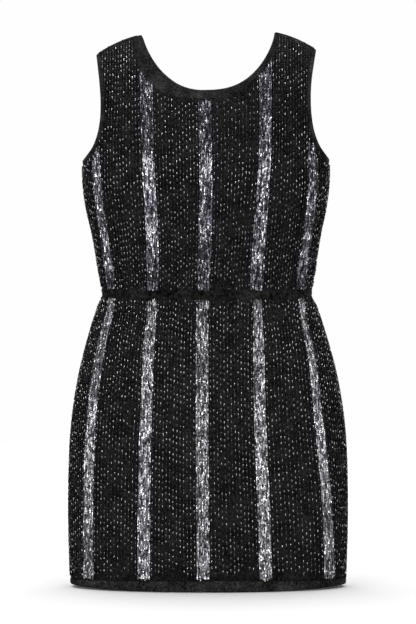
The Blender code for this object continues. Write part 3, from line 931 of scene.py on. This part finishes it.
def laid(tangent, normal, z, stripe, streak):
    """Tangent and normal of silver beads that lie at the angle LIE tells."""
    n = len(z)
    patch = sum(np.sin(2 * np.pi * z / w + f + 1.9 * stripe) for w, f in ((11.0, 0.3), (17.0, 1.9), (31.0, 4.0))) / 1.7
    lie = np.choose(stripe, [table(LIE, k, z) for k in range(1, 6)])
    angle = np.radians(lie + 1.6 * patch + 2.6 * streak + rng.normal(0, 3.2, n))
    flat = normal * np.array([1.0, 1.0, 0.0])
    flat = unit(flat)
    up = np.array([0.0, 0.0, 1.0])
    new_normal = flat * np.cos(angle)[:, None] + up * np.sin(angle)[:, None]
    new_tangent = unit(tangent - new_normal * np.sum(tangent * new_normal, axis=1, keepdims=True))
    return new_tangent, new_normal


def streaks(string, z):
    """-1 to 1 along every string of silver beads, used to tip the beads a little and to pick brighter or darker
    copies: a painted sheen that brightens and dims along the string.
    """
    count = string.max() + 1
    total = 0.0
    for low, high in ((12.0, 22.0), (22.0, 40.0), (40.0, 90.0)):
        wave, phase = rng.uniform(low, high, count), rng.uniform(0, 2 * np.pi, count)
        total = total + np.sin(2 * np.pi * z / wave[string] + phase[string])
    return np.clip(total / 2.1, -1.0, 1.0)


def runs(string, alike):
    """A number from 0 to 1 for each bead, near its neighbour's on the string."""
    draw = rng.normal(0, 1, len(string))
    value = np.empty(len(string))
    last = 0.0
    for i, step in enumerate(draw):
        if i == 0 or string[i] != string[i - 1]:
            last = step
        else:
            last = alike * last + math.sqrt(1 - alike * alike) * step
        value[i] = last
    return 0.5 * (1.0 + np.tanh(value * 0.7979 * (1.0 + 0.044715 * value * value)))


def patches(s, z, side):
    """Soft patches, 0 to 1, of painted glints: where more of the small beads get the bright copies that stand for
    catching the light.
    """
    shift = 0.0 if side == FRONT else 311.0
    total = 0.0
    for k, (wide, tall) in enumerate(((61.0, 83.0), (37.0, 52.0), (23.0, 31.0), (90.0, 41.0))):
        a = 2 * np.pi * ((s + shift) / wide + 0.31 * k)
        b = 2 * np.pi * (z / tall + 0.17 * k + 0.11 * np.sin(a * 0.7))
        total = total + np.sin(a + 1.3 * np.sin(b * 0.6)) * np.cos(b)
    return np.clip(0.5 + 0.30 * total, 0.0, 1.0)


def bead_panel(part, side):
    name = f"{part}_{'front' if side == FRONT else 'back'}"
    beads = bead_places(part, side)
    pieces = []
    mid, tan, nor, z, s, string, stripe, _ = beads["bugle"]
    n = len(mid)
    tilt = 0.035 + 0.16 * np.exp(-np.abs(z - (WAIST_TOP + WAIST_BOTTOM) / 2) / 22.0)
    # painted shade: fewer of the glossy bugle copies on the yoke, which faces the light
    yoke = np.clip((z + 235.0) / 120.0, 0.0, 1.0)
    roll = rng.uniform(0, 1, n)
    pick = np.where(roll < 0.36 + 0.22 * yoke, 0, np.where(roll < 0.74 + 0.18 * yoke, 1, 2))
    pieces.append(string_beads(
        name + "_bugles", tube_shape(5), mid - nor * BUGLE_R, tan, nor,
        BUGLE_R * rng.uniform(0.90, 1.06, n), BUGLE_LONG * rng.uniform(0.82, 1.03, n),
        [MAT["bugle_dark"], MAT["bugle"], MAT["bugle_bright"]], pick, tilt=tilt))
    mid, tan, nor, z, s, string, stripe, _ = beads["seed"]
    n = len(mid)
    tilt = 0.07 + 0.24 * np.exp(-np.abs(z - (WAIST_TOP + WAIST_BOTTOM) / 2) / 22.0)
    x = mid[:, 0]
    # painted glints and shade: fewer bright copies where the cloth turns away, at the sides and over
    # the shoulders, and a few more low on the skirt
    facing = np.clip(np.abs(nor[:, 1]), 0.0, 1.0) ** 0.4
    facing = facing * np.clip(0.25 + (ridge(x) - z) / 22.0, 0.0, 1.0)
    lit = (0.40 + 0.72 * patches(s, z, side)) * facing * (1.06 + 0.14 * np.clip((-600.0 - z) / 60.0, 0.0, 1.0))
    # painted shade: the yoke gets fewer bright copies, most of all over one shoulder
    yoke = np.clip((z + 235.0) / 120.0, 0.0, 1.0)
    one = np.clip(0.5 + x / 60.0, 0.0, 1.0)
    roll = rng.uniform(0, 1, n)
    high = 0.46 * lit * (1.0 - (0.52 + 0.26 * one) * yoke)
    some = 0.92 * lit * (1.0 - (0.12 + 0.30 * one) * yoke)
    pick = np.where(roll < high, 2, np.where(roll < some, 1, 0))
    pieces.append(string_beads(
        name + "_seeds", tube_shape(5), mid - nor * (SEED_R - 0.15), tan, nor,
        SEED_R * rng.uniform(0.88, 1.1, n), SEED_LONG * rng.uniform(0.72, 1.04, n),
        [MAT["seed_painted_dark"], MAT["seed_painted_half_glint"], MAT["seed_painted_glint"]], pick, tilt=tilt))
    mid, tan, nor, z, s, string, stripe, turn = beads["spark"]
    n = len(mid)
    side_step = unit(np.cross(tan, nor))
    mid = mid + side_step * rng.normal(0, 0.18, n)[:, None]
    streak = streaks(string, z)
    tan2, nor2 = laid(tan, nor, z, stripe, streak)
    # painted highlight and shade: more bright silver copies where the cloth lies upright and faces out, and along the
    # streaks; fewer on the upper chest
    lie = np.choose(stripe, [table(LIE, k, z) for k in range(1, 6)])
    clear = np.clip((lie + 7.0) / 9.0, 0.0, 1.9) * np.abs(nor[:, 1]) ** 0.6
    roll = runs(string, 0.62)
    bright = (0.09 + 0.35 * clear) * (1.0 + 0.95 * streak) * (1.0 - 0.40 * np.clip((z + 190.0) / 50.0, 0.0, 1.0))
    pick = np.where(roll < bright, 2, np.where(roll < bright + 0.57 + 0.12 * streak, 1, 0))
    # painted shade: the bodice takes the darker copies
    tag = "upper" if part == "bodice" else "lower"
    pieces.append(string_beads(
        name + "_stripes", tube_shape(5), mid - nor * (SPARK_R - rng.uniform(0, 0.25, n))[:, None],
        tan2, nor2, SPARK_R * rng.uniform(0.9, 1.1, n), SPARK_LONG * rng.uniform(0.85, 1.05, n),
        [MAT["spark_dark_" + tag], MAT["spark_mid_" + tag], MAT["spark_bright_" + tag]], pick,
        tilt=0.0, smooth=False, spin=turn))
    return pieces


# ---- plain pieces ------------------------------------------------------------------
def band_section(width):
    """Across a binding: (share from the free edge to the sewn edge, lift)."""
    return [(1.16, -1.9), (1.08, -1.35), (0.90, -0.85), (0.55, -0.62), (0.30, -0.66), (0.10, -0.85),
            (0.0, -1.25), (0.0, -1.95), (0.10, -2.35), (0.40, -2.55), (0.80, -2.60), (1.1, -2.5)]


def band(name, free, sewn, sides, section, mat, node, wobble=0.0):
    """A closed strip between two matching curves of (x, z)."""
    n = len(sides)
    loops = []
    base = rng.uniform(0, 2 * np.pi, 6)
    t = np.arange(n) / n * 2 * np.pi
    wave = sum(np.sin(t * k + b) for k, b in zip((9, 13, 17, 23, 31, 37), base)) / 6.0
    for share, lift in section:
        x = free[0] + (sewn[0] - free[0]) * share
        z = free[1] + (sewn[1] - free[1]) * share
        z = np.minimum(z, ridge(x))
        p = base_point(x, z, sides)
        nrm = base_normal(x, z, sides)
        loops.append(p + nrm * (lift + wobble * wave)[:, None])
    loops = np.stack(loops)
    rows = len(section)
    i, j = np.meshgrid(np.arange(rows), np.arange(n), indexing="ij")
    i, j = i.ravel(), j.ravel()
    i2, j2 = (i + 1) % rows, (j + 1) % n
    faces = np.stack([i * n + j, i * n + j2, i2 * n + j2, i2 * n + j], 1)
    obj = new_mesh(name, loops.reshape(-1, 3), faces, [MAT[mat]])
    fix_outward(obj)
    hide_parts(node)
    return obj


def fix_outward(obj):
    """Turns a closed mesh so that its faces look out."""
    import bmesh
    bm = bmesh.new()
    bm.from_mesh(obj.data)
    bmesh.ops.recalc_face_normals(bm, faces=bm.faces[:])
    bm.to_mesh(obj.data)
    bm.free()


def neck_band():
    k = 110
    q = np.pi * np.arange(k) / k
    fx0, fz0 = neck_curve("front_in", q)
    fx1, fz1 = neck_curve("front_out", q)
    qb = np.pi - q
    bx0, bz0 = neck_curve("back_in", qb)
    bx1, bz1 = neck_curve("back_out", qb)
    sides = np.concatenate([np.full(k, FRONT), np.full(k, BACK)])
    wide = 0.11 * np.clip(q / 0.2, 0, 1) * np.clip((1.5 - q) / 0.5, 0, 1)
    fx0, fz0 = fx0 + (fx0 - fx1) * wide, fz0 + (fz0 - fz1) * wide
    free = (np.concatenate([fx0, bx0]), np.concatenate([fz0, bz0]))
    sewn = (np.concatenate([fx1, bx1]), np.concatenate([fz1, bz1]))
    return band("neck_band", free, sewn, sides, band_section(9), "neck", "neck_binding",
                wobble=0.12)


def armhole_section():
    return [(1.10, -1.9), (1.0, -1.2), (0.60, -0.55), (0.25, -0.45), (-0.06, -0.8), (-0.12, -1.3),
            (-0.06, -1.9), (0.15, -2.35), (0.50, -2.55), (1.0, -2.5)]


def armhole_band(sign):
    k = 60
    free, sewn, sides = [[], []], [[], []], []
    for side in (FRONT, BACK):
        a = armhole_curve(side, 0.0, k)
        b = armhole_curve(side, ARMHOLE_BAND, k)
        steps = np.arange(k) if side == FRONT else np.arange(k, 0, -1)
        for c in (0, 1):
            free[c].append(a[c][steps])
            sewn[c].append(b[c][steps])
        sides.append(np.full(k, side))
    free = [np.concatenate(v) for v in free]
    sewn = [np.concatenate(v) for v in sewn]
    free[0], sewn[0] = free[0] * sign, sewn[0] * sign
    tag = "l" if sign < 0 else "r"
    return band(f"armhole_band_{tag}", free, sewn, np.concatenate(sides), armhole_section(),
                "plain", f"armhole_binding_{tag}", wobble=0.15)


def round_angles(k):
    a = np.pi * np.arange(k) / k
    return (np.concatenate([a, np.pi - a]),
            np.concatenate([np.full(k, FRONT), np.full(k, BACK)]))


def ring_piece(name, loops, mat, node):
    loops = np.stack(loops)
    rows, n = loops.shape[:2]
    i, j = np.meshgrid(np.arange(rows), np.arange(n), indexing="ij")
    i, j = i.ravel(), j.ravel()
    i2, j2 = (i + 1) % rows, (j + 1) % n
    faces = np.stack([i * n + j, i * n + j2, i2 * n + j2, i2 * n + j], 1)
    obj = new_mesh(name, loops.reshape(-1, 3), faces, [MAT[mat]])
    fix_outward(obj)
    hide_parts(node)
    return obj


def hem_piece():
    a, side = round_angles(150)
    top = hem_height(a, side)
    bottom = -LENGTH + HEM_LIFT * np.abs(np.cos(a)) ** HEM_LIFT_POWER
    s = np.where(side == FRONT, arc_of_angle(a, top, FRONT), 900 - arc_of_angle(a, top, BACK))
    wave = 0.25 * np.sin(s / 17.0) + 0.25 * np.sin(s / 6.3 + 1.0) + 0.2 * np.sin(s / 31.0) + 0.2 * np.sin(s / 3.7)
    top = top + 0.9 * wave
    loops = []
    for share, lift in [(1.0, -1.4), (0.96, -0.95), (0.75, -0.75), (0.4, -0.7), (0.12, -0.85), (0.0, -1.3),
                        (0.0, -2.0), (0.12, -2.4), (0.5, -2.5), (1.0, -2.4)]:
        z = bottom + (top - bottom) * share
        x = -half_width(z) * np.cos(a)
        p, n = base_point(x, z, side), base_normal(x, z, side)
        out = 0.25 + 0.6 * np.abs(np.cos(a)) ** 8
        loops.append(p + n * (lift + 0.5 * wave + (out if lift > -1.9 else 0.0))[:, None])
    return ring_piece("hem_piece", loops, "hemmed", "hem_band")


def waist_piece():
    """Gathered cloth on elastic: small uneven upright folds that bunch up, with
    wavering edges."""
    a, side = round_angles(360)
    loops = []
    rows = [(1.16, -2.2), (1.02, -1.5), (0.90, -0.9), (0.76, -0.5), (0.62, -0.6), (0.5, -0.9),
            (0.38, -0.7), (0.24, -0.5), (0.10, -0.9), (-0.02, -1.5), (-0.16, -2.2), (0.0, -2.7),
            (0.5, -2.8), (1.0, -2.7)]
    s0 = np.where(side == FRONT, arc_of_angle(a, WAIST_TOP + 0.0 * a, FRONT),
                  700.0 + arc_of_angle(a, WAIST_TOP + 0.0 * a, BACK))
    edge_up = sum(w * np.sin(s0 / f + c) for f, w, c in
                  ((3.1, 0.6, 0.0), (7.7, 0.8, 2.0), (13.0, 0.7, 4.0), (2.1, 0.3, 1.0)))
    edge_low = sum(w * np.sin(s0 / f + c) for f, w, c in
                   ((3.7, 0.6, 1.0), (6.1, 0.8, 5.0), (17.0, 0.7, 3.0), (2.4, 0.3, 2.0)))
    for share, lift in rows:
        w = min(max(share, 0.0), 1.0)
        z = (WAIST_BOTTOM + (WAIST_TOP - WAIST_BOTTOM) * share + edge_up * w + edge_low * (1 - w)
             + 0.5 * (1 - abs(2 * w - 1)) * np.sin(s0 / 9.0))
        s = np.where(side == FRONT, arc_of_angle(a, z, FRONT), arc_of_angle(a, z, BACK))
        slant = 5.0 * (share - 0.5) * np.sin(s0 / 19.0 + 1.0)
        fold = ripple("waist", s * 2.2 + 2.0 * slant, side)
        bunch = ripple("bodice", s * 0.8 + slant, side)
        mix = ripple("bodice", s, side) * share + ripple("skirt", s, side) * (1 - share)
        amount = (1.5 if lift > -1.2 else 0.4) * (0.62 + 0.38 * np.sin(s0 / 21.0 + 2.0))
        x = -half_width(z) * np.cos(a)
        p, n = base_point(x, z, side), base_normal(x, z, side)
        tuck = -1.5 * math.exp(-((share - 0.16) / 0.14) ** 2) * np.clip(np.sin(s0 / 27.0 + 0.6), 0, 1)
        loops.append(p + n * (lift + tuck + amount * (0.7 * fold + 0.5 * bunch) + 0.45 * mix)[:, None])
    return ring_piece("waist_piece", loops, "gathered", "waist_casing")


# ---- studio ----------------------------------------------------------------------
SCALE = 1.472            # mm across one pixel of the 416 x 624 frame, at the dress
DISTANCE = 7900.0
EYE = -39.0
MIDDLE_X = 1.6
CENTRE_Z = (33.5 - 312.0) * SCALE


def studio():
    scene = bpy.context.scene
    cam = bpy.data.cameras.new("camera")
    cam.sensor_fit = "VERTICAL"
    cam.sensor_height = 36.0
    obj = bpy.data.objects.new("camera", cam)
    scene.collection.objects.link(obj)
    eye = Vector((MIDDLE_X, -DISTANCE, EYE)) * MM
    look = Vector((MIDDLE_X, 0.0, CENTRE_Z)) * MM
    obj.location = eye
    obj.rotation_euler = (look - eye).to_track_quat("-Z", "Y").to_euler()
    cam.lens = 36.0 * (look - eye).length / (624 * SCALE * MM)
    cam.clip_end = 60.0
    scene.camera = obj

    floor_mesh = bpy.data.meshes.new("floor")
    r, z = 3.0, (-LENGTH - 0.6) * MM
    n = 64
    pts = [(r * math.cos(2 * math.pi * i / n), r * math.sin(2 * math.pi * i / n), z) for i in range(n)]
    floor_mesh.from_pydata(pts, [], [tuple(range(n))])
    floor = bpy.data.objects.new("floor", floor_mesh)
    scene.collection.objects.link(floor)
    floor.visible_glossy = False
    mat, tree, bsdf = principled("floor", (0.74, 0.74, 0.74), 0.9)
    bsdf.inputs["Specular IOR Level"].default_value = 0.0
    floor_mesh.materials.append(mat)

    world = bpy.data.worlds.new("studio")
    scene.world = world
    world.use_nodes = True
    tree = world.node_tree
    tree.nodes.clear()
    out = tree.nodes.new("ShaderNodeOutputWorld")
    coords = tree.nodes.new("ShaderNodeTexCoord")
    split = tree.nodes.new("ShaderNodeSeparateXYZ")
    turn = tree.nodes.new("ShaderNodeMapping")
    turn.inputs["Rotation"].default_value = (math.radians(6.5), math.radians(3.0), 0.0)
    tree.links.new(coords.outputs["Generated"], turn.inputs["Vector"])
    tree.links.new(turn.outputs["Vector"], split.inputs["Vector"])
    grade = ramp(tree, to_range(tree, split.outputs["Z"], 0.0, 1.0, -1.0, 1.0).outputs["Result"],
                 [(0.0, (0.02,) * 3), (0.60, (0.03,) * 3), (0.80, (0.30,) * 3), (0.90, (1.2,) * 3),
                  (0.965, (3.4,) * 3), (1.0, (5.0,) * 3)])
    light = tree.nodes.new("ShaderNodeBackground")
    tree.links.new(grade.outputs["Color"], light.inputs["Color"])
    light.inputs["Strength"].default_value = 1.0
    white = tree.nodes.new("ShaderNodeBackground")
    white.inputs["Color"].default_value = (1.0, 1.0, 1.0, 1.0)
    white.inputs["Strength"].default_value = 0.991
    path = tree.nodes.new("ShaderNodeLightPath")
    mix = tree.nodes.new("ShaderNodeMixShader")
    tree.links.new(path.outputs["Is Camera Ray"], mix.inputs["Fac"])
    tree.links.new(light.outputs["Background"], mix.inputs[1])
    tree.links.new(white.outputs["Background"], mix.inputs[2])
    tree.links.new(mix.outputs["Shader"], out.inputs["Surface"])

    def area(name, place, aim, size, power):
        data = bpy.data.lights.new(name, "AREA")
        data.shape = "RECTANGLE"
        data.size, data.size_y = size
        data.energy = power
        lamp = bpy.data.objects.new(name, data)
        scene.collection.objects.link(lamp)
        lamp.location = place
        lamp.rotation_euler = (Vector(aim) - Vector(place)).to_track_quat("-Z", "Y").to_euler()
        return lamp

    area("front_left", (-2.3, -4.4, 0.0), (0, 0, -0.42), (1.9, 2.2), 95.0)
    area("front_right", (2.1, -4.6, -0.05), (0, 0, -0.42), (1.9, 2.2), 80.0)
    area("rear_left", (2.3, 4.4, 0.0), (0, 0, -0.42), (1.9, 2.2), 55.0)
    area("rear_right", (-2.1, 4.6, -0.05), (0, 0, -0.42), (1.9, 2.2), 50.0)
    scene.view_settings.view_transform = "Standard"
    scene.view_settings.look = "None"


def main():
    studio()
    panels = [("bodice", FRONT, 0.455, 0.372), ("bodice", BACK, 0.440, 0.372),
              ("skirt", FRONT, 0.500, 0.415), ("skirt", BACK, 0.510, 0.415)]
    for part, side, width, length in panels:
        name = f"{part}_{'front' if side == FRONT else 'back'}"
        grid = bodice_grid(side) if part == "bodice" else skirt_grid(side)
        base = shell(name + "_cloth", grid, side, name)
        beads = bead_panel(part, side)
        tris = [sum(len(p.vertices) - 2 for p in o.data.polygons) for o in [base] + beads]
        print(name, "triangles", tris, sum(tris))
    neck = neck_band()
    for sign in (-1, 1):
        arm = armhole_band(sign)
    hem = hem_piece()
    waist = waist_piece()


main()
